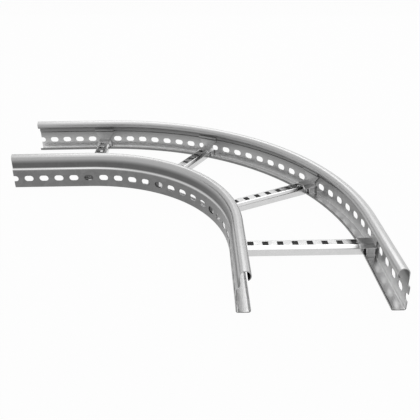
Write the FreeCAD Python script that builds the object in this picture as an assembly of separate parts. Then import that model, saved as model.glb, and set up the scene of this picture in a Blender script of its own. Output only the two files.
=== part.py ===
import FreeCAD, Part
import math
import os

# A flat right-angle bend of ladder cable tray: two roll-formed side rails bent to
# concentric curves, four slotted rungs between them, and a clip at each end of every rung.
# Leg 1 leaves along -X and leg 2 along -Y. The bend turns about a vertical line.

# Slot pattern of the side rails, which also sets the rails' lengths
slot_pitch = 25.0
slot_length = 15.0
slot_width = 9.5
slot_height = 16.5
leg_pitches = 5
inner_bend_pitches = 14
outer_bend_pitches = 26

# Side rail section
rail_sheet = 1.0
rail_bend = 1.5
rail_height = 56.0
flange_width = 17.0
flange_lip = 4.5
lower_web = 31.5
ledge_rise = 3.0
ledge_depth = 2.75
roll_radius = 7.0
roll_hook = 60.0

# Rungs, and their places round the bend in degrees from leg 1
rung_angles = (0.0, 29.4, 62.3, 90.0)
rung_sheet = 1.5
rung_bend = 0.75
rung_width = 22.0
rung_depth = 14.0
rung_shoulder = 3.75
rung_return = 5.0
rung_lift = 1.0
rung_hole_length = 8.0
rung_hole_width = 9.5
rung_hole_pitch = 19.5
pierce_diameter = 3.0
pierce_inset = 3.0
pierce_drop = 2.5

# Rung clips
clip_sheet = 1.5
clip_bend = 0.75
clip_overlap = 5.5
foot_width = 3.0
neck_width = 20.0
head_width = 36.0
neck_rise = 2.0
head_drop = 1.5
head_rise = 3.0

# Clearances
rung_gap = 0.3
clip_gap = 0.1
web_gap = 0.1
skirt_gap = 1.5
lip_gap = 0.5

# How finely round forms are drawn: degrees turned by each flat of a sheet's roll and of its
# tight bends, and flats on each half circle of a hole or of a slot round the bend. The slots
# on the straight legs, where the tray is joined, have truly round ends.
roll_flat_angle = 30.0
bend_flat_angle = 90.0
half_circle_flat_count = 3

# Sizes that follow from those above
leg_length = leg_pitches * slot_pitch
inner_radius = inner_bend_pitches * slot_pitch / (math.pi / 2)
outer_radius = outer_bend_pitches * slot_pitch / (math.pi / 2)
rung_bottom = rail_sheet + rung_lift
rung_top = rung_bottom + rung_depth
clip_top = rung_top + clip_gap + clip_sheet
bend_centre = -(outer_radius - leg_length) / 2

UP = FreeCAD.Vector(0, 0, 1)
ORIGIN = FreeCAD.Vector(0, 0, 0)


def bent_path(points, radius):
    """Straight edges through the points, with an arc of one radius at each inner point."""
    edges = []
    start = points[0]
    for before, corner, after in zip(points, points[1:], points[2:]):
        inward = (before - corner).normalize()
        onward = (after - corner).normalize()
        half_angle = inward.getAngle(onward) / 2
        tangent_length = radius / math.tan(half_angle)
        bisector = (inward + onward).normalize()
        arc_start = corner + inward * tangent_length
        arc_end = corner + onward * tangent_length
        arc_middle = corner + bisector * (radius / math.sin(half_angle) - radius)
        edges.append(Part.LineSegment(start, arc_start).toShape())
        edges.append(Part.Arc(arc_start, arc_middle, arc_end).toShape())
        start = arc_end
    edges.append(Part.LineSegment(start, points[-1]).toShape())
    return edges


def flats(arc, count):
    """Chords of an arc edge, all of one length."""
    points = arc.discretize(count + 1)
    return [Part.makeLine(start, end) for start, end in zip(points, points[1:])]


def sheet_flats(arc):
    """The flats of a bend, or of a roll, which turns by more than half a circle."""
    turn = math.degrees(arc.LastParameter - arc.FirstParameter)
    flat_turn = roll_flat_angle if turn > 180 else bend_flat_angle
    return flats(arc, max(1, round(turn / flat_turn)))


def strip_face(edges, thickness):
    """The section of a bent sheet, from its middle line."""
    middle = Part.Wire(edges)
    sides = [middle.makeOffset2D(side * thickness / 2, 0, False, True, False) for side in (-1, 1)]
    ends = [[side.OrderedVertexes[end].Point for side in sides] for end in (0, -1)]
    loop = [Part.makeLine(*end) for end in ends]
    for edge in sides[0].Edges + sides[1].Edges:
        loop += sheet_flats(edge) if isinstance(edge.Curve, Part.Circle) else [edge]
    return Part.Face(Part.Wire(Part.__sortEdges__(loop)))


def ledge_corners(inset):
    """Depth and height of the ledge's two corners, on a line set in from the web's middle line."""
    turn = math.atan2(ledge_depth, ledge_rise)
    depth = rail_sheet / 2 + inset
    height = lower_web - inset * math.tan(turn / 2)
    return (depth, height), (depth + ledge_depth, height + ledge_rise)


def rail_section():
    """Rail section in the YZ plane: Y is the distance inwards from the web's outer face."""
    half = rail_sheet / 2
    ledge_low, ledge_high = ledge_corners(0)
    roll_centre_y = ledge_depth + roll_radius
    roll_centre_z = rail_height - roll_radius
    roll_middle = roll_radius - half
    points = [
        FreeCAD.Vector(0, flange_width - half, flange_lip),
        FreeCAD.Vector(0, flange_width - half, half),
        FreeCAD.Vector(0, half, half),
        FreeCAD.Vector(0, *ledge_low),
        FreeCAD.Vector(0, *ledge_high),
        FreeCAD.Vector(0, ledge_depth + half, roll_centre_z),
    ]
    edges = bent_path(points, rail_bend + half)
    hook_end = math.radians(-roll_hook)
    roll_points = []
    for angle in (math.pi, (math.pi + hook_end) / 2, hook_end):
        y = roll_centre_y + roll_middle * math.cos(angle)
        z = roll_centre_z + roll_middle * math.sin(angle)
        roll_points.append(FreeCAD.Vector(0, y, z))
    edges.append(Part.Arc(*roll_points).toShape())
    return strip_face(edges, rail_sheet)


def along_bend(section):
    """Sweeps a section that stands at the start of the bend along leg 1, the bend and leg 2."""
    bend = section.revolve(ORIGIN, UP, -90)
    leg_1 = section.extrude(FreeCAD.Vector(-leg_length, 0, 0))
    far_section = section.copy()
    far_section.rotate(ORIGIN, UP, -90)
    leg_2 = far_section.extrude(FreeCAD.Vector(0, -leg_length, 0))
    return bend.fuse([leg_1, leg_2]).removeSplitter()


def slot_cutter(depth, end_flats=0):
    """A slot along X, through a web at Y = 0, with ends truly round or drawn as flats."""
    reach = (slot_length - slot_width) / 2
    radius = slot_width / 2
    corners = [
        FreeCAD.Vector(-reach, 0, -radius),
        FreeCAD.Vector(reach, 0, -radius),
        FreeCAD.Vector(reach, 0, radius),
        FreeCAD.Vector(-reach, 0, radius),
    ]
    right_end = Part.Arc(corners[1], FreeCAD.Vector(reach + radius, 0, 0), corners[2])
    left_end = Part.Arc(corners[3], FreeCAD.Vector(-reach - radius, 0, 0), corners[0])
    edges = [Part.makeLine(corners[0], corners[1]), Part.makeLine(corners[2], corners[3])]
    for end in (right_end, left_end):
        arc = end.toShape()
        edges += flats(arc, end_flats) if end_flats else [arc]
    outline = Part.Wire(Part.__sortEdges__(edges))
    cutter = Part.Face(outline).extrude(FreeCAD.Vector(0, 2 * depth, 0))
    cutter.translate(FreeCAD.Vector(0, -depth, slot_height))
    return cutter


def place_on_rail(shape, distance, radius):
    """Moves a shape from the start of the bend to a distance along the rail from its end."""
    placed = shape.copy()
    bend_length = radius * math.pi / 2
    into_bend = distance - leg_length
    if into_bend < 0:
        placed.translate(FreeCAD.Vector(into_bend, radius, 0))
    elif into_bend <= bend_length:
        placed.translate(FreeCAD.Vector(0, radius, 0))
        placed.rotate(ORIGIN, UP, -math.degrees(into_bend / radius))
    else:
        placed.translate(FreeCAD.Vector(into_bend - bend_length, radius, 0))
        placed.rotate(ORIGIN, UP, -90)
    return placed


def side_rail(radius, inward):
    """A rail with its web's outer face at a radius. Inward is +1 or -1 along the radius."""
    section = rail_section()
    if inward < 0:
        section = section.mirror(ORIGIN, FreeCAD.Vector(0, 1, 0))
    section.translate(FreeCAD.Vector(0, radius, 0))
    rail = along_bend(section)
    rail_length = 2 * leg_length + radius * math.pi / 2
    spaces = round(rail_length / slot_pitch)
    leg_cutter = slot_cutter(2 * rail_sheet)
    bend_cutter = slot_cutter(2 * rail_sheet, half_circle_flat_count)
    cutters = []
    for index in range(spaces + 1):
        distance = index * rail_length / spaces
        from_end = min(distance, rail_length - distance)
        cutter = leg_cutter if from_end + slot_length / 2 < leg_length else bend_cutter
        cutters.append(place_on_rail(cutter, distance, radius))
    return rail.cut(cutters)


def rung_outline(grow):
    """Outside corner points of the rung's section in the YZ plane, moved outwards by a gap."""
    half_width = rung_width / 2 + grow
    top = rung_top + grow
    shoulder = rung_shoulder + grow * (2 - math.sqrt(2))
    return half_width, top, shoulder


def channel_path(half_width, top, shoulder, bottom_points, bend):
    """Middle line of a channel with sloping shoulders, open below."""
    left = bottom_points + [
        FreeCAD.Vector(0, -half_width, top - shoulder),
        FreeCAD.Vector(0, shoulder - half_width, top),
    ]
    right = [FreeCAD.Vector(0, -point.y, point.z) for point in reversed(left)]
    return bent_path(left + right, bend)


def rung_section():
    half = rung_sheet / 2
    half_width, top, shoulder = rung_outline(-half)
    bottom = rung_bottom + half
    returns = [
        FreeCAD.Vector(0, -rung_width / 2 + rung_return, bottom),
        FreeCAD.Vector(0, -half_width, bottom),
    ]
    return strip_face(channel_path(half_width, top, shoulder, returns, rung_bend + half), rung_sheet)


def rung_span():
    """Where a rung starts and ends along the radius, clear of both flange lips."""
    start = inner_radius + flange_width + rung_gap
    lip_radius = outer_radius - flange_width - rung_gap
    end = math.sqrt(lip_radius ** 2 - (rung_width / 2) ** 2)
    return start, end


def rung():
    start, end = rung_span()
    length = end - start
    body = rung_section().extrude(FreeCAD.Vector(length, 0, 0))
    holes = int((length - rung_hole_length) / rung_hole_pitch) + 1
    first_hole = (length - (holes - 1) * rung_hole_pitch - rung_hole_length) / 2
    cutters = []
    for index in range(holes):
        corner = FreeCAD.Vector(
            first_hole + index * rung_hole_pitch,
            -rung_hole_width / 2,
            rung_top - 2 * rung_sheet,
        )
        cutters.append(Part.makeBox(rung_hole_length, rung_hole_width, 3 * rung_sheet, corner))
    pierce_height = rung_top - rung_shoulder - pierce_drop
    across = FreeCAD.Vector(0, 2 * rung_width, 0)
    for distance in (pierce_inset, length - pierce_inset):
        centre = FreeCAD.Vector(distance, -rung_width, pierce_height)
        circle = Part.makeCircle(pierce_diameter / 2, centre, across)
        outline = Part.Wire(flats(circle, 2 * half_circle_flat_count))
        cutters.append(Part.Face(outline).extrude(across))
    body = body.cut(cutters)
    body.translate(FreeCAD.Vector(start, 0, 0))
    return body


def clip_cap():
    """The clip's saddle over the rung, with skirts that stand on the flange behind its lip."""
    half = clip_sheet / 2
    half_width, top, shoulder = rung_outline(clip_gap + half)
    foot_level = rail_sheet + half
    feet = [
        FreeCAD.Vector(0, -half_width - foot_width, foot_level),
        FreeCAD.Vector(0, -half_width, foot_level),
    ]
    section = strip_face(channel_path(half_width, top, shoulder, feet, rung_bend + half), clip_sheet)
    start = rail_sheet + web_gap
    end = flange_width + clip_overlap
    cap = section.extrude(FreeCAD.Vector(end - start, 0, 0))
    cap.translate(FreeCAD.Vector(start, 0, 0))
    skirt_start = start + skirt_gap
    skirt_end = flange_width - rail_sheet - rail_bend - lip_gap
    for cut_start, cut_end in ((0, skirt_start), (skirt_end, end)):
        corner = FreeCAD.Vector(cut_start, -2 * rung_width, 0)
        skirt_cut = Part.makeBox(
            cut_end - cut_start, 4 * rung_width, rung_top - rung_shoulder, corner
        )
        cap = cap.cut(skirt_cut)
    return cap


def clip_tab():
    """The upright tab, bent to follow the web: a neck between two slots and a wide head."""
    neck = neck_width / 2
    head = head_width / 2
    neck_bottom = rung_top - rung_shoulder
    neck_top = clip_top + neck_rise
    head_bottom = lower_web - head_drop
    head_top = lower_web + ledge_rise + head_rise
    ledge_low, ledge_high = ledge_corners(web_gap + (rail_sheet + clip_sheet) / 2)
    corners = [(ledge_low[0], neck_bottom), ledge_low, ledge_high, (ledge_high[0], head_top)]
    line = [FreeCAD.Vector(depth, -head, height) for depth, height in corners]
    section = strip_face(bent_path(line, clip_bend + clip_sheet / 2), clip_sheet)
    sheet = section.extrude(FreeCAD.Vector(0, head_width, 0))
    right = [
        FreeCAD.Vector(0, neck, neck_bottom),
        FreeCAD.Vector(0, neck, neck_top),
        FreeCAD.Vector(0, head, head_bottom),
        FreeCAD.Vector(0, head, head_top),
    ]
    left = [FreeCAD.Vector(0, -point.y, point.z) for point in reversed(right)]
    outline = Part.makePolygon(right + left + right[:1])
    return sheet.common(Part.Face(outline).extrude(FreeCAD.Vector(flange_width, 0, 0)))


def clip(web_bow):
    """A clip on the X axis, with X = 0 at the web's outer face and the rung towards +X."""
    shape = clip_cap().fuse(clip_tab()).removeSplitter()
    shape.translate(FreeCAD.Vector(web_bow, 0, 0))
    return shape


def save(shape, name, turn):
    """Turns a shape about the bend's centre, moves it to the part's frame and writes it."""
    placed = shape.copy()
    placed.rotate(ORIGIN, UP, turn)
    placed.translate(FreeCAD.Vector(bend_centre, bend_centre, 0))
    placed.exportStep("parts/" + name + ".step")


os.makedirs("parts", exist_ok=True)

save(side_rail(inner_radius, 1), "inner_rail", 0)
save(side_rail(outer_radius, -1), "outer_rail", 0)

rung_shape = rung()

inner_clip = clip(0)
inner_clip.translate(FreeCAD.Vector(inner_radius, 0, 0))

outer_web = outer_radius - ledge_depth - rail_sheet
outer_bow = outer_web - math.sqrt(outer_web ** 2 - (head_width / 2) ** 2)
outer_clip = clip(outer_bow)
outer_clip.rotate(ORIGIN, UP, 180)
outer_clip.translate(FreeCAD.Vector(outer_radius, 0, 0))

for number, angle in enumerate(rung_angles, start=1):
    turn = 90 - angle
    save(rung_shape, "rung_" + str(number), turn)
    save(inner_clip, "rung_" + str(number) + "_inner_clip", turn)
    save(outer_clip, "rung_" + str(number) + "_outer_clip", turn)
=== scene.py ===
import math

import bmesh
import bpy
from mathutils import Matrix, Vector


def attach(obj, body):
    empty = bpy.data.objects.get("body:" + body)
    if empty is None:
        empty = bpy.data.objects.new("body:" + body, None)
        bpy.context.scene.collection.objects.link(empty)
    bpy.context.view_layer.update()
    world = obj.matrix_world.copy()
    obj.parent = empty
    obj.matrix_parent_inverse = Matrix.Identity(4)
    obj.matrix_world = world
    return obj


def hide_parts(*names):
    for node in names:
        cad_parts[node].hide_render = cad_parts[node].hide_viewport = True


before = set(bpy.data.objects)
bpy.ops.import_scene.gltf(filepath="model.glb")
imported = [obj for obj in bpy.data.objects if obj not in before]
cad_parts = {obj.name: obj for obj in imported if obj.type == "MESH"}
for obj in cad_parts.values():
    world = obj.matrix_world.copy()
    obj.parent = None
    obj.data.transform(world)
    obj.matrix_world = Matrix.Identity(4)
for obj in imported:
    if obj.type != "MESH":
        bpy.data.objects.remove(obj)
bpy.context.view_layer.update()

# Side rails: each is one strip of galvanised steel, roll-formed to a web with a stiffening
# ledge, a lipped flange below and an open roll on top. The web is punched with slots before
# the rail is bent to its curve. One pitch is drawn flat here and the rest are its copies.
slot_pitch = 0.025
slot_length = 0.015
slot_width = 0.0095
slot_height = 0.0165
leg_pitches = 5
inner_bend_pitches = 14
outer_bend_pitches = 26
rail_sheet = 0.001
rail_bend = 0.0015
rail_height = 0.056
flange_width = 0.017
flange_lip = 0.0045
lower_web = 0.0315
ledge_rise = 0.003
ledge_depth = 0.00275
roll_radius = 0.007
roll_hook = math.radians(60)
slot_band = 0.0165
bend_step = math.radians(15)
roll_step = math.radians(9)
half_columns = 4
half_rows = 3
slot_end_angles = (90, 67.5, 45, 30, 15, 0, -15, -30, -45, -67.5, -90)
weld_gap = 1e-6
join_gap = 1e-5

leg_length = leg_pitches * slot_pitch
inner_radius = inner_bend_pitches * slot_pitch / (math.pi / 2)
outer_radius = outer_bend_pitches * slot_pitch / (math.pi / 2)
bend_centre = -(outer_radius - leg_length) / 2


def bent_line(corners, radius, step):
    """Points of a line through the corners, rounded at each inner one, in the YZ plane."""
    points = [corners[0]]
    for before, corner, after in zip(corners, corners[1:], corners[2:]):
        inward = (before - corner).normalized()
        onward = (after - corner).normalized()
        half_angle = inward.angle(onward) / 2
        turn = math.pi - 2 * half_angle
        centre = corner + (inward + onward).normalized() * (radius / math.sin(half_angle))
        start = corner + inward * (radius / math.tan(half_angle)) - centre
        end = corner + onward * (radius / math.tan(half_angle)) - centre
        steps = max(2, round(turn / step))
        points += [centre + start.slerp(end, i / steps) * radius for i in range(steps + 1)]
    return points + [corners[-1]]


def rail_line():
    """Middle line of the rail's section: x inwards from the web's outer face, y up."""
    half = rail_sheet / 2
    roll_centre = Vector((ledge_depth + roll_radius, rail_height - roll_radius))
    roll_middle = roll_radius - half
    corners = [
        Vector((flange_width - half, flange_lip)),
        Vector((flange_width - half, half)),
        Vector((half, half)),
        Vector((half, lower_web)),
        Vector((ledge_depth + half, lower_web + ledge_rise)),
        Vector((ledge_depth + half, roll_centre.y)),
    ]
    points = bent_line(corners, rail_bend + half, bend_step)
    turns = round((math.pi + roll_hook) / roll_step)
    for index in range(1, turns + 1):
        angle = math.pi - index * (math.pi + roll_hook) / turns
        points.append(roll_centre + roll_middle * Vector((math.cos(angle), math.sin(angle))))
    return points


def half_slot_ring():
    """Border and slot outline of half a pitch, from the slot's centre line round its end."""
    radius = slot_width / 2
    reach = (slot_length - slot_width) / 2
    side = slot_pitch / 2
    top = slot_band / 2
    border = [(side * i / half_columns, top) for i in range(half_columns)]
    border += [(side, top * (1 - i / half_rows)) for i in range(2 * half_rows + 1)]
    border += [(side * i / half_columns, -top) for i in reversed(range(half_columns))]
    outline = [(0, radius), (reach / 2, radius)]
    for angle in map(math.radians, slot_end_angles):
        outline.append((reach + radius * math.cos(angle), radius * math.sin(angle)))
    outline += [(reach / 2, -radius), (0, -radius)]
    return border, outline


def add_grid(mesh, grid, kept=lambda row, column: True):
    """Faces between the rows and columns of a grid of vertices, where they are kept."""
    for row, (near, far) in enumerate(zip(grid, grid[1:])):
        for i in range(len(near) - 1):
            if kept(row, i):
                mesh.faces.new((near[i], near[i + 1], far[i + 1], far[i]))


def mesh_data(name, mesh):
    """The drawn mesh as data for an object."""
    data = bpy.data.meshes.new(name)
    mesh.to_mesh(data)
    mesh.free()
    return data


def rail_pitch(inward):
    """Flat mesh of one pitch of rail, from slot centre to slot centre: X along the rail."""
    mesh = bmesh.new()
    line = rail_line()
    low = slot_height - slot_band / 2
    high = slot_height + slot_band / 2
    break_at = max(i for i, point in enumerate(line) if point.y < low and point.x < rail_sheet)
    below = line[: break_at + 1] + [Vector((rail_sheet / 2, low))]
    above = [Vector((rail_sheet / 2, high))] + line[break_at + 1 :]
    columns = [slot_pitch * i / (2 * half_columns) for i in range(2 * half_columns + 1)]
    for rows in (below, above):
        grid = [[mesh.verts.new((x, inward * p.x, p.y)) for x in columns] for p in rows]
        add_grid(mesh, grid)
    border, outline = half_slot_ring()
    web = inward * rail_sheet / 2
    for mirrored in (False, True):
        def vertex(point):
            x = slot_pitch - point[0] if mirrored else point[0]
            return mesh.verts.new((x, web, slot_height + point[1]))
        rings = [[vertex(point) for point in ring] for ring in (border, outline)]
        for i in range(len(border) - 1):
            face = (rings[0][i], rings[0][i + 1], rings[1][i + 1], rings[1][i])
            mesh.faces.new(reversed(face) if mirrored else face)
    bmesh.ops.remove_doubles(mesh, verts=mesh.verts, dist=weld_gap)
    bmesh.ops.recalc_face_normals(mesh, faces=mesh.faces)
    lowest = min(mesh.faces, key=lambda face: face.calc_center_median().z)
    if lowest.normal.z > 0:
        bmesh.ops.reverse_faces(mesh, faces=mesh.faces)
    return mesh_data("rail_pitch", mesh)


def add_node(tree, kind, settings=None, values=None, links=None):
    """A node with its settings, its input values, and the sockets that feed its inputs."""
    node = tree.nodes.new(kind)
    for name, value in (settings or {}).items():
        setattr(node, name, value)
    for name, value in (values or {}).items():
        node.inputs[name].default_value = value
    for name, socket in (links or {}).items():
        tree.links.new(socket, node.inputs[name])
    return node


def new_group(name, inputs):
    """A tree that takes a geometry and other named inputs, and the sockets they come from."""
    tree = bpy.data.node_groups.new(name, "GeometryNodeTree")
    sockets = tree.interface
    for label, kind in {"Geometry": "Geometry", **inputs}.items():
        sockets.new_socket(label, in_out="INPUT", socket_type="NodeSocket" + kind)
    sockets.new_socket("Geometry", in_out="OUTPUT", socket_type="NodeSocketGeometry")
    return tree, add_node(tree, "NodeGroupInput").outputs


def copies_in_row(tree, geometry, pitch, count):
    """Real copies of a geometry along X, a pitch apart."""
    step = add_node(tree, "ShaderNodeCombineXYZ", links={"X": pitch})
    places = add_node(
        tree, "GeometryNodeMeshLine", {"mode": "OFFSET"},
        links={"Count": count, "Offset": step.outputs[0]},
    )
    copies = add_node(
        tree, "GeometryNodeInstanceOnPoints",
        links={"Points": places.outputs[0], "Instance": geometry},
    )
    real = add_node(tree, "GeometryNodeRealizeInstances", links={"Geometry": copies.outputs[0]})
    return real.outputs[0]


def bent_run_tree():
    """Repeats a flat pitch along X, and lays the run along leg 1, the bend and leg 2."""
    tree, given = new_group("bent_run", {
        "Pitch": "Float", "Leg Length": "Float", "Bend Radius": "Float",
        "Bend Centre": "Float", "Pitches": "Int", "Material": "Material",
    })

    def maths(operation, *terms):
        node = add_node(tree, "ShaderNodeMath", {"operation": operation})
        for slot, term in enumerate(terms):
            if isinstance(term, (int, float)):
                node.inputs[slot].default_value = term
            else:
                tree.links.new(term, node.inputs[slot])
        return node.outputs[0]

    copies = copies_in_row(tree, given["Geometry"], given["Pitch"], given["Pitches"])
    run = add_node(
        tree, "GeometryNodeMergeByDistance", values={"Distance": join_gap},
        links={"Geometry": copies},
    )
    flat_place = add_node(tree, "GeometryNodeInputPosition").outputs[0]
    flat = add_node(tree, "ShaderNodeSeparateXYZ", links={"Vector": flat_place}).outputs
    beyond_leg = maths("SUBTRACT", flat["X"], given["Leg Length"])
    unlimited = maths("DIVIDE", beyond_leg, given["Bend Radius"])
    angle = maths("MINIMUM", maths("MAXIMUM", unlimited, 0.0), math.pi / 2)
    straight = maths("SUBTRACT", beyond_leg, maths("MULTIPLY", angle, given["Bend Radius"]))
    reach = maths("ADD", given["Bend Radius"], flat["Y"])
    sine = maths("SINE", angle)
    cosine = maths("COSINE", angle)
    x = maths("ADD", maths("MULTIPLY", reach, sine), maths("MULTIPLY", straight, cosine))
    y = maths("SUBTRACT", maths("MULTIPLY", reach, cosine), maths("MULTIPLY", straight, sine))
    bent = add_node(
        tree, "ShaderNodeCombineXYZ",
        links={
            "X": maths("ADD", x, given["Bend Centre"]),
            "Y": maths("ADD", y, given["Bend Centre"]),
            "Z": flat["Z"],
        },
    )
    marked = add_node(
        tree, "GeometryNodeStoreNamedAttribute",
        {"data_type": "FLOAT_VECTOR", "domain": "POINT"}, {"Name": "strip"},
        {"Geometry": run.outputs[0], "Value": flat_place},
    )
    laid = add_node(
        tree, "GeometryNodeSetPosition",
        links={"Geometry": marked.outputs[0], "Position": bent.outputs[0]},
    )
    finished = add_node(
        tree, "GeometryNodeSetMaterial",
        links={"Geometry": laid.outputs[0], "Material": given["Material"]},
    )
    add_node(tree, "NodeGroupOutput", links={"Geometry": finished.outputs[0]})
    return tree


def linear(hex_colour):
    """The linear red, green, blue and alpha of an sRGB hex colour, by the sRGB standard."""
    channels = [int(hex_colour[i : i + 2], 16) / 255 for i in (1, 3, 5)]
    return [
        c / 12.92 if c <= 0.04045 else ((c + 0.055) / 1.055) ** 2.4 for c in channels
    ] + [1.0]


# Galvanised strip steel: rolled sheet whose zinc coat froze in flat crystals. It gives a grey
# metal, half matt, with patches a shade apart, a slow waviness that stretches its highlights,
# and faint lines along the strip. Light and shade are painted into its colour: the outside is a
# darker, shaded copy of the inside, with painted shade above the ledge and painted highlights
# on the ledge and the top of the roll. The inside is painted light on the flange and painted
# shade up the web, to a painted dark shadow in the roll's hollow.
crystal_width = 0.009
wave_width = 0.045
grain_width = 0.0012
roll_line_width = 0.0015
roll_line_length = 0.12
crystal_share = 0.45
grain_share = 0.2
relief_strength = 0.25
relief_depth = 0.0004
roughness_below = 0.05
roughness_above = 0.07
head_bottom = rail_height - 2 * roll_radius
head_full = head_bottom + roll_radius / 2


def galvanised_steel(name, light, dark, roughness, formed=0.0, bands=()):
    """A zinc finish between two tones. Formed is how much it shows the forming rolls' lines.
    Each of the bands is a height, the colour of painted light and shade there, and its share."""
    material = bpy.data.materials.new(name)
    material.use_nodes = True
    tree = material.node_tree
    shader = tree.nodes["Principled BSDF"]
    shader.inputs["Metallic"].default_value = 1.0

    def noise(vector, scale, detail):
        return add_node(
            tree, "ShaderNodeTexNoise", values={"Scale": scale, "Detail": detail},
            links={"Vector": vector},
        ).outputs["Fac"]

    def mixed(first, second, share):
        return add_node(
            tree, "ShaderNodeMix", {"data_type": "FLOAT"}, {"Factor": share},
            {"A": first, "B": second},
        ).outputs["Result"]

    place = add_node(tree, "ShaderNodeTexCoord").outputs["Object"]
    crystals = add_node(
        tree, "ShaderNodeTexVoronoi", values={"Scale": 1 / crystal_width},
        links={"Vector": place},
    )
    crystal_tone = add_node(
        tree, "ShaderNodeSeparateColor", links={"Color": crystals.outputs["Color"]},
    ).outputs["Red"]
    waves = noise(place, 1 / wave_width, 2.0)
    grain = noise(place, 1 / grain_width, 3.0)
    tone = mixed(waves, crystal_tone, crystal_share)
    relief = mixed(waves, grain, grain_share)
    if formed:
        strip = add_node(
            tree, "ShaderNodeAttribute", {"attribute_name": "strip"},
        ).outputs["Vector"]
        stretched = add_node(
            tree, "ShaderNodeMapping",
            values={"Scale": (1 / roll_line_length, 1 / roll_line_width, 1 / roll_line_width)},
            links={"Vector": strip},
        ).outputs["Vector"]
        tone = mixed(tone, noise(stretched, 1.0, 2.0), formed)
    colour = add_node(
        tree, "ShaderNodeMix", {"data_type": "RGBA"},
        {"A": linear(dark), "B": linear(light)}, {"Factor": tone},
    ).outputs["Result"]
    uneven = add_node(
        tree, "ShaderNodeMapRange",
        values={"To Min": roughness - roughness_below, "To Max": roughness + roughness_above},
        links={"Value": tone},
    ).outputs["Result"]
    bump = add_node(
        tree, "ShaderNodeBump",
        values={"Strength": relief_strength, "Distance": relief_depth},
        links={"Height": relief},
    ).outputs["Normal"]
    # Light and shade painted into the colour by height.
    if bands:
        height = add_node(tree, "ShaderNodeSeparateXYZ", links={"Vector": place}).outputs["Z"]
        share_of_height = add_node(
            tree, "ShaderNodeMath", {"operation": "DIVIDE"}, {1: rail_height}, {0: height},
        ).outputs[0]
        painted_light_ramp = add_node(tree, "ShaderNodeValToRGB", links={"Fac": share_of_height})
        stops = painted_light_ramp.color_ramp.elements
        while len(stops) < len(bands):
            stops.new(1.0)
        for stop, (band_height, painted_colour, share) in zip(stops, bands):
            stop.position = band_height / rail_height
            stop.color = linear(painted_colour)[:3] + [share]
        colour = add_node(
            tree, "ShaderNodeMix", {"data_type": "RGBA"},
            links={"Factor": painted_light_ramp.outputs["Alpha"], "A": colour, "B": painted_light_ramp.outputs["Color"]},
        ).outputs["Result"]
    for socket, value in (("Base Color", colour), ("Roughness", uneven), ("Normal", bump)):
        tree.links.new(value, shader.inputs[socket])
    return material


rolled_share = 0.3
# Outside: a darker, shaded copy of the zinc, with painted shade above the ledge and painted
# highlights on the ledge and the roll's top.
outside_painted_shade_and_highlights = galvanised_steel(
    "galvanised_steel_rolled_outside", "#888888", "#6C6C6C", 0.30, rolled_share,
    (
        (lower_web - ledge_rise / 4, "#D0D0D0", 0.0),
        (lower_web + ledge_rise / 2, "#D0D0D0", 1.0),
        (lower_web + ledge_rise * 5 / 4, "#505050", 0.6),
        (head_bottom, "#505050", 0.6),
        (head_bottom + roll_radius, "#ACACAC", 1.0),
    ),
)
# Inside: a lighter, lit copy of the zinc, with painted shade up the web and a painted dark
# shadow in the roll's hollow.
inside_painted_light_and_shade = galvanised_steel(
    "galvanised_steel_inside", "#E0E0E0", "#C4C4C4", 0.32, rolled_share,
    (
        (flange_lip, "#5C5C5C", 0.0),
        (slot_height, "#5C5C5C", 0.4),
        (head_bottom, "#5C5C5C", 0.95),
        (head_full, "#242424", 1.0),
    ),
)


def set_inputs(modifier, values):
    """Gives a node tree's named inputs their values."""
    for item in modifier.node_group.interface.items_tree:
        if item.name in values and item.in_out == "INPUT":
            modifier[item.identifier] = values[item.name]


def evaluated_mesh(made):
    """The object's mesh as its modifiers leave it. They are then removed."""
    mesh = bpy.data.meshes.new_from_object(
        made.evaluated_get(bpy.context.evaluated_depsgraph_get())
    )
    made.modifiers.clear()
    return mesh


def made_object(name, mesh):
    """An object for a mesh, in the scene."""
    made = bpy.data.objects.new(name, mesh)
    bpy.context.scene.collection.objects.link(made)
    return made


sharp_edge = math.radians(35)


def smoothed(made):
    """The made object's evaluated mesh, smooth but for its edges, with its flats kept flat."""
    made.data = evaluated_mesh(made)
    made.data.shade_smooth()
    made.data.set_sharp_from_angle(angle=sharp_edge)
    weighted = made.modifiers.new("flats", "WEIGHTED_NORMAL")
    weighted.keep_sharp = True
    mesh = evaluated_mesh(made)
    bpy.data.objects.remove(made)
    return mesh


def add_sheet(made, thickness, inside_slot=0):
    """Gives a sheet its thickness. The face away from its normals may take another material;
    the rails and clips use it for painted light and shade.
    """
    sheet = made.modifiers.new("sheet", "SOLIDIFY")
    sheet.material_offset = inside_slot
    sheet.thickness = thickness
    sheet.offset = 0.0
    sheet.use_even_offset = True


def finish(name, mesh, node):
    """Puts a finished mesh in the scene in place of a node."""
    mesh.name = name
    piece = made_object(name, mesh)
    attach(piece, "root")
    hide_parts(node)


bent_run = bent_run_tree()
rails = (
    ("inner_rail", inner_radius, inner_bend_pitches, 1),
    ("outer_rail", outer_radius, outer_bend_pitches, -1),
)
for node, radius, bend_pitches, inward in rails:
    made = made_object(node + "_run", rail_pitch(inward))
    # The outside takes the painted shade and the inside the painted light.
    made.data.materials.append(outside_painted_shade_and_highlights)
    made.data.materials.append(inside_painted_light_and_shade)
    run = made.modifiers.new("run", "NODES")
    run.node_group = bent_run
    set_inputs(run, {
        "Pitch": slot_pitch, "Leg Length": leg_length, "Bend Radius": radius,
        "Bend Centre": bend_centre, "Pitches": 2 * leg_pitches + bend_pitches,
        "Material": outside_painted_shade_and_highlights,
    })
    add_sheet(made, rail_sheet, 1)
    finish(node + "_strip", smoothed(made), node)

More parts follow.
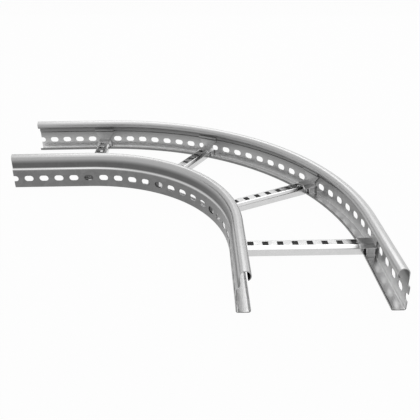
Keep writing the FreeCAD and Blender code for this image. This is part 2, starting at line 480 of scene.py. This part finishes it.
# Rungs: each is a folded channel of galvanised strip with sloping shoulders, open below, its
# top punched with a row of holes for cable ties and its sides pierced near both ends. It stops
# just short of the rails' flange lips and is held by its clips.
rung_angles = (0.0, 29.4, 62.3, 90.0)
rung_sheet = 0.0015
rung_bend = 0.00075
rung_width = 0.022
rung_depth = 0.014
rung_shoulder = 0.00375
rung_return = 0.005
rung_bottom = 0.002
rung_gap = 0.0003
rung_hole_length = 0.008
rung_hole_width = 0.0095
rung_hole_corner = 0.0008
rung_hole_pitch = 0.0195
rung_holes = 8
corner_steps = 3
pierce_diameter = 0.003
pierce_inset = 0.003
pierce_drop = 0.0025
pierce_steps = 24
edge_round = 0.00015
rounded_edge = math.radians(60)
inside_margin = 0.001

rung_top = rung_bottom + rung_depth
rung_start = inner_radius + flange_width + rung_gap
rung_lip = outer_radius - flange_width - rung_gap
rung_end = math.sqrt(rung_lip ** 2 - (rung_width / 2) ** 2)
rung_length = rung_end - rung_start


def channel_line(grow, radius, bottom_points):
    """Middle line of a channel over the rung, grown from the rung's outside by an amount."""
    side = rung_width / 2 + grow
    top = rung_top + grow
    shoulder = rung_shoulder + grow * (2 - math.sqrt(2))
    left = bottom_points + [Vector((-side, top - shoulder)), Vector((shoulder - side, top))]
    right = [Vector((-point.x, point.y)) for point in reversed(left)]
    return bent_line(left + right, radius, bend_step)


def strip_mesh(name, line, columns, kept=lambda low, high, point: True):
    """A sheet along X with its section in the YZ plane, of the faces that are kept."""
    mesh = bmesh.new()
    grid = [[mesh.verts.new((x, point.x, point.y)) for x in columns] for point in line]

    def face_kept(row, i):
        return kept(columns[i], columns[i + 1], (line[row] + line[row + 1]) / 2)

    add_grid(mesh, grid, face_kept)
    loose = [vertex for vertex in mesh.verts if not vertex.link_faces]
    bmesh.ops.delete(mesh, geom=loose, context="VERTS")
    return mesh_data(name, mesh)


def rung_strip():
    """The rung's sheet along X, before it is punched."""
    half = rung_sheet / 2
    bottom = rung_bottom + half
    returns = [
        Vector((-rung_width / 2 + rung_return, bottom)),
        Vector((-rung_width / 2 + half, bottom)),
    ]
    line = channel_line(-half, rung_bend + half, returns)
    return strip_mesh("rung", line, [rung_start, rung_end])


def prism(name, outline, rise):
    """A closed punch with a flat outline, in the direction of its rise."""
    mesh = bmesh.new()
    face = mesh.faces.new([mesh.verts.new(point) for point in outline])
    far = bmesh.ops.extrude_face_region(mesh, geom=[face])["geom"]
    moved = [item for item in far if isinstance(item, bmesh.types.BMVert)]
    bmesh.ops.translate(mesh, verts=moved, vec=rise)
    bmesh.ops.recalc_face_normals(mesh, faces=mesh.faces)
    return made_object(name, mesh_data(name, mesh))


def hole_punch():
    """The punch of the first hole for a cable tie, with rounded corners."""
    room = rung_length - (rung_holes - 1) * rung_hole_pitch - rung_hole_length
    middle = rung_start + room / 2 + rung_hole_length / 2
    reach_x = rung_hole_length / 2 - rung_hole_corner
    reach_y = rung_hole_width / 2 - rung_hole_corner
    outline = []
    for quarter, (side_x, side_y) in enumerate(((1, 1), (-1, 1), (-1, -1), (1, -1))):
        for step in range(corner_steps + 1):
            angle = math.radians(90 * quarter + 90 * step / corner_steps)
            x = middle + side_x * reach_x + rung_hole_corner * math.cos(angle)
            y = side_y * reach_y + rung_hole_corner * math.sin(angle)
            outline.append((x, y, rung_top - 2 * rung_sheet))
    return prism("hole_punch", outline, (0, 0, 4 * rung_sheet))


def piercing_punch():
    """The punch of the first pierced hole, through both sides."""
    height = rung_top - rung_shoulder - pierce_drop
    outline = []
    for step in range(pierce_steps):
        angle = math.radians(360 * step / pierce_steps)
        x = rung_start + pierce_inset + pierce_diameter / 2 * math.cos(angle)
        z = height + pierce_diameter / 2 * math.sin(angle)
        outline.append((x, -rung_width, z))
    return prism("piercing_punch", outline, (0, 2 * rung_width, 0))


def punched_row_tree():
    """Takes a row of copies of a punch out of a channel along X, and gives its two sides their
    materials, the inside one for painted shade. A face is inside where it looks towards the
    line through the channel's middle."""
    tree, given = new_group("punched_row", {
        "Punch": "Object", "Pitch": "Float", "Holes": "Int", "Middle Height": "Float",
        "Material": "Material", "Inside Material": "Material",
    })
    punch = add_node(tree, "GeometryNodeObjectInfo", links={"Object": given["Punch"]})
    row = copies_in_row(tree, punch.outputs["Geometry"], given["Pitch"], given["Holes"])
    punched = add_node(
        tree, "GeometryNodeMeshBoolean", {"operation": "DIFFERENCE", "solver": "EXACT"},
        links={"Mesh 1": given["Geometry"], "Mesh 2": row},
    )
    place = add_node(tree, "GeometryNodeInputPosition").outputs[0]
    height = add_node(tree, "ShaderNodeCombineXYZ", links={"Z": given["Middle Height"]})
    from_middle = add_node(
        tree, "ShaderNodeVectorMath", {"operation": "SUBTRACT"},
        links={0: place, 1: height.outputs[0]},
    ).outputs["Vector"]
    across = add_node(
        tree, "ShaderNodeVectorMath", {"operation": "MULTIPLY"}, {1: (0.0, 1.0, 1.0)},
        {0: from_middle},
    ).outputs["Vector"]
    outwardness = add_node(
        tree, "ShaderNodeVectorMath", {"operation": "DOT_PRODUCT"},
        links={0: across, 1: add_node(tree, "GeometryNodeInputNormal").outputs[0]},
    ).outputs["Value"]
    inside = add_node(
        tree, "FunctionNodeCompare", {"data_type": "FLOAT", "operation": "LESS_THAN"},
        {"B": -inside_margin}, {"A": outwardness},
    ).outputs["Result"]
    coated = add_node(
        tree, "GeometryNodeSetMaterial",
        links={"Geometry": punched.outputs["Mesh"], "Material": given["Material"]},
    )
    finished = add_node(
        tree, "GeometryNodeSetMaterial",
        links={
            "Geometry": coated.outputs[0], "Selection": inside,
            "Material": given["Inside Material"],
        },
    )
    add_node(tree, "NodeGroupOutput", links={"Geometry": finished.outputs[0]})
    return tree


def add_edge_round(made):
    """The slight round that shearing leaves on a sheet's edges, wide enough to catch light."""
    rounding = made.modifiers.new("edges", "BEVEL")
    rounding.width = edge_round
    rounding.segments = 1
    rounding.limit_method = "ANGLE"
    rounding.angle_limit = rounded_edge


def turned_mesh(mesh, angle, moved=0.0, facing=0.0):
    """A copy of a mesh made along X, laid at a rung's angle round the bend."""
    turned = mesh.copy()
    centre = Matrix.Translation((bend_centre, bend_centre, 0))
    turn = Matrix.Rotation(math.radians(90 - angle), 4, "Z")
    along = Matrix.Translation((moved, 0, 0)) @ Matrix.Rotation(math.radians(facing), 4, "Z")
    turned.transform(centre @ turn @ along)
    return turned


# Bright galvanised strip: the same coat on a smoother sheet, lighter and shinier than the
# rails. Inside the channel it is more matt and painted dark as shade, so that the holes look
# dark.
rung_zinc = galvanised_steel("bright_galvanised_strip", "#DCDCDC", "#D0D0D0", 0.20)
rung_inside_painted_shade = galvanised_steel("dull_galvanised_strip", "#6C6C6C", "#585858", 0.45)

punched_row = punched_row_tree()
made = made_object("rung_run", rung_strip())
add_sheet(made, rung_sheet)
punches = (
    (hole_punch(), rung_hole_pitch, rung_holes),
    (piercing_punch(), rung_length - 2 * pierce_inset, 2),
)
for punch, pitch, holes in punches:
    row = made.modifiers.new(punch.name, "NODES")
    row.node_group = punched_row
    # The channel's inside takes painted shade.
    set_inputs(row, {
        "Punch": punch, "Pitch": pitch, "Holes": holes,
        "Middle Height": (rung_bottom + rung_top) / 2,
        "Material": rung_zinc, "Inside Material": rung_inside_painted_shade,
    })
add_edge_round(made)
rung_mesh = smoothed(made)
for punch, _, _ in punches:
    bpy.data.objects.remove(punch)
for number, angle in enumerate(rung_angles, start=1):
    node = "rung_" + str(number)
    finish(node + "_channel", turned_mesh(rung_mesh, angle), node)

# Rung clips: each is a galvanised pressing with a saddle over the rung's end, skirts that
# stand on the flange behind its lip, and an upright tab that follows the web up past the
# ledge, narrow between two slots and wide above them.
clip_sheet = 0.0015
clip_bend = 0.00075
clip_gap = 0.0001
web_gap = 0.0001
clip_overlap = 0.0055
foot_width = 0.003
skirt_gap = 0.0015
lip_gap = 0.0005
neck_width = 0.020
head_width = 0.036
neck_rise = 0.002
head_drop = 0.0015
head_rise = 0.003
half_tab_columns = 3


def clip_saddle():
    """The saddle's sheet along X, with its skirts cut back to the flange."""
    half = clip_sheet / 2
    foot = rail_sheet + half
    side = rung_width / 2 + clip_gap + half
    feet = [Vector((-side - foot_width, foot)), Vector((-side, foot))]
    line = channel_line(clip_gap + half, clip_bend + half, feet)
    start = rail_sheet + web_gap
    skirt_start = start + skirt_gap
    skirt_end = flange_width - rail_sheet - rail_bend - lip_gap
    eaves = rung_top - rung_shoulder

    def kept(low, high, point):
        return point.y > eaves or (low >= skirt_start and high <= skirt_end)

    columns = [start, skirt_start, skirt_end, flange_width + clip_overlap]
    return strip_mesh("saddle", line, columns, kept)


def clip_tab():
    """The tab's sheet: rows up the web's line, each as wide as the tab is at its height."""
    inset = web_gap + (rail_sheet + clip_sheet) / 2
    slope = math.atan2(ledge_depth, ledge_rise)
    depth = rail_sheet / 2 + inset
    ledge = lower_web - inset * math.tan(slope / 2)
    neck_top = rung_top + clip_gap + clip_sheet + neck_rise
    head_start = lower_web - head_drop
    line = bent_line(
        [
            Vector((depth, rung_top - rung_shoulder)),
            Vector((depth, ledge)),
            Vector((depth + ledge_depth, ledge + ledge_rise)),
            Vector((depth + ledge_depth, lower_web + ledge_rise + head_rise)),
        ],
        clip_bend + clip_sheet / 2, bend_step,
    )
    line[1:1] = [Vector((depth, neck_top)), Vector((depth, head_start))]
    columns = range(-half_tab_columns, half_tab_columns + 1)
    mesh = bmesh.new()
    grid = []
    for point in line:
        spread = min(max((point.y - neck_top) / (head_start - neck_top), 0), 1)
        half_width = (neck_width + spread * (head_width - neck_width)) / 2
        places = [(point.x, half_width * i / half_tab_columns, point.y) for i in columns]
        grid.append([mesh.verts.new(place) for place in places])
    add_grid(mesh, grid)
    return mesh_data("tab", mesh)


# Galvanised pressing: the coat is scuffed where the tool pressed it, so it is pale like the
# rungs but more matt. Up the tab it is painted darker as shade, like the painted shade on the
# web behind. Its other side, against the rung and the web, is painted dark all over as shade.
clip_zinc_painted_shade = galvanised_steel(
    "galvanised_pressing", "#E8E8E8", "#D4D4D4", 0.36, 0.0,
    (
        (rung_top - rung_shoulder, "#5C5C5C", 0.0),
        (rung_top + clip_sheet, "#5C5C5C", 0.3),
        (head_full, "#5C5C5C", 1.0),
    ),
)
clip_inside_painted_shade = galvanised_steel("dull_pressing_inside", "#6C6C6C", "#585858", 0.45)

both = bmesh.new()
for sheet in (clip_saddle(), clip_tab()):
    made = made_object(sheet.name, sheet)
    # Painted shade up the tab outside, and painted shade all over the other side.
    made.data.materials.append(clip_zinc_painted_shade)
    made.data.materials.append(clip_inside_painted_shade)
    add_sheet(made, clip_sheet, 1)
    add_edge_round(made)
    both.from_mesh(smoothed(made))
clip_mesh = mesh_data("clip", both)
clip_mesh.materials.append(clip_zinc_painted_shade)
clip_mesh.materials.append(clip_inside_painted_shade)
web_face = outer_radius - ledge_depth - rail_sheet
web_bow = web_face - math.sqrt(web_face ** 2 - (head_width / 2) ** 2)
ends = (("inner", inner_radius, 0), ("outer", outer_radius - web_bow, 180))
for number, angle in enumerate(rung_angles, start=1):
    for end, radius, facing in ends:
        node = "rung_" + str(number) + "_" + end + "_clip"
        finish(node + "_pressing", turned_mesh(clip_mesh, angle, radius, facing), node)

# Floor: a plain pale sheet that the part stands on. It is seen white, by the camera and in
# the metal, and it keeps the part's shadow.
floor_size = 6.0
floor_seen_share = 0.97
floor_mirrored_share = 0.9
floor_roughness = 0.9
floor_mesh = bpy.data.meshes.new("floor")
corner = floor_size / 2
floor_mesh.from_pydata(
    [(-corner, -corner, 0), (corner, -corner, 0), (corner, corner, 0), (-corner, corner, 0)],
    [], [(0, 1, 2, 3)],
)
floor = made_object("floor", floor_mesh)
floor_paint = bpy.data.materials.new("white_floor")
floor_paint.use_nodes = True
floor_tree = floor_paint.node_tree
floor_shader = floor_tree.nodes["Principled BSDF"]
floor_shader.inputs["Base Color"].default_value = linear("#D8D8D8")
floor_shader.inputs["Roughness"].default_value = floor_roughness


def highest(tree, first, second):
    """The higher of two sockets."""
    return add_node(
        tree, "ShaderNodeMath", {"operation": "MAXIMUM"}, links={0: first, 1: second},
    ).outputs[0]


def part_of(tree, share, whole):
    """A share of a socket."""
    return add_node(
        tree, "ShaderNodeMath", {"operation": "MULTIPLY"}, {1: share}, {0: whole},
    ).outputs[0]


floor_rays = add_node(floor_tree, "ShaderNodeLightPath").outputs
floor_seen = highest(
    floor_tree, floor_rays["Is Camera Ray"], floor_rays["Is Transmission Ray"],
)
floor_share = highest(
    floor_tree, part_of(floor_tree, floor_seen_share, floor_seen),
    part_of(floor_tree, floor_mirrored_share, floor_rays["Is Glossy Ray"]),
)
floor_glow = add_node(floor_tree, "ShaderNodeEmission", values={"Strength": 1.0})
floor_mix = add_node(
    floor_tree, "ShaderNodeMixShader",
    links={0: floor_share, 1: floor_shader.outputs[0], 2: floor_glow.outputs[0]},
)
floor_output = floor_tree.nodes["Material Output"]
floor_tree.links.new(floor_mix.outputs[0], floor_output.inputs["Surface"])
floor_mesh.materials.append(floor_paint)

# Studio light: an even pale surround and three softboxes. A low one stands behind the tray, a
# large one behind and above it, and one hangs overhead, for the ledge and the shoulders. The
# surround is seen white, and in the metal too.
world = bpy.data.worlds.new("studio")
bpy.context.scene.world = world
world.use_nodes = True
world_tree = world.node_tree
light_level = 0.15
world_rays = add_node(world_tree, "ShaderNodeLightPath").outputs
world_seen = highest(world_tree, world_rays["Is Camera Ray"], world_rays["Is Glossy Ray"])
world_seen = highest(world_tree, world_seen, world_rays["Is Transmission Ray"])
world_strength = add_node(
    world_tree, "ShaderNodeMapRange", values={"To Min": light_level, "To Max": 1.0},
    links={"Value": world_seen},
).outputs["Result"]
world_tree.links.new(world_strength, world_tree.nodes["Background"].inputs["Strength"])
world_tree.nodes["Background"].inputs["Color"].default_value = (1, 1, 1, 1)


def softbox(name, place, aim, width, height, watts):
    """A rectangular lamp at a place, turned to what it is aimed at."""
    lamp = bpy.data.lights.new(name, "AREA")
    lamp.shape = "RECTANGLE"
    lamp.size = width
    lamp.size_y = height
    lamp.energy = watts
    light = bpy.data.objects.new(name, lamp)
    light.location = place
    light.rotation_euler = (Vector(aim) - Vector(place)).to_track_quat("-Z", "Y").to_euler()
    bpy.context.scene.collection.objects.link(light)


softbox("low_softbox", (0.3, 2.0, 0.45), (0.0, 0.0, 0.3), 4.0, 0.8, 4)
softbox("back_softbox", (0.3, 1.25, 2.05), (0.0, 0.0, 0.0), 2.4, 1.8, 24)
softbox("overhead_softbox", (0.0, -0.4, 1.6), (0.0, -0.1, 0.0), 1.8, 1.9, 8)

# Camera: at the photograph's angle, its lens worked out for a frame of 420 by 420 pixels. Its
# place is measured from the bend's centre, and the axis is where the lens's middle falls in the
# frame.
picture = 420
film_width = 36.0
eye = Vector((0.1845, -0.6250, 0.3875)) + Vector((bend_centre, bend_centre, 0))
pitch, yaw, roll = (math.radians(angle) for angle in (27.63, -0.35, -1.10))
focal_pixels = 553.7
axis_x, axis_y = 197.0, 214.4
forward = Vector((
    math.sin(yaw) * math.cos(pitch), math.cos(yaw) * math.cos(pitch), -math.sin(pitch),
))
level = Vector((math.cos(yaw), -math.sin(yaw), 0))
above = level.cross(forward)
right = level * math.cos(roll) + above * math.sin(roll)
up = above * math.cos(roll) - level * math.sin(roll)
lens = bpy.data.cameras.new("camera")
lens.sensor_width = film_width
lens.lens = focal_pixels * lens.sensor_width / picture
lens.shift_x = (picture / 2 - axis_x) / picture
lens.shift_y = (axis_y - picture / 2) / picture
camera = bpy.data.objects.new("camera", lens)
turned = Matrix((right, up, -forward)).transposed().to_4x4()
camera.matrix_world = Matrix.Translation(eye) @ turned
bpy.context.scene.collection.objects.link(camera)
bpy.context.scene.camera = camera
bpy.context.scene.view_settings.view_transform = "Standard"
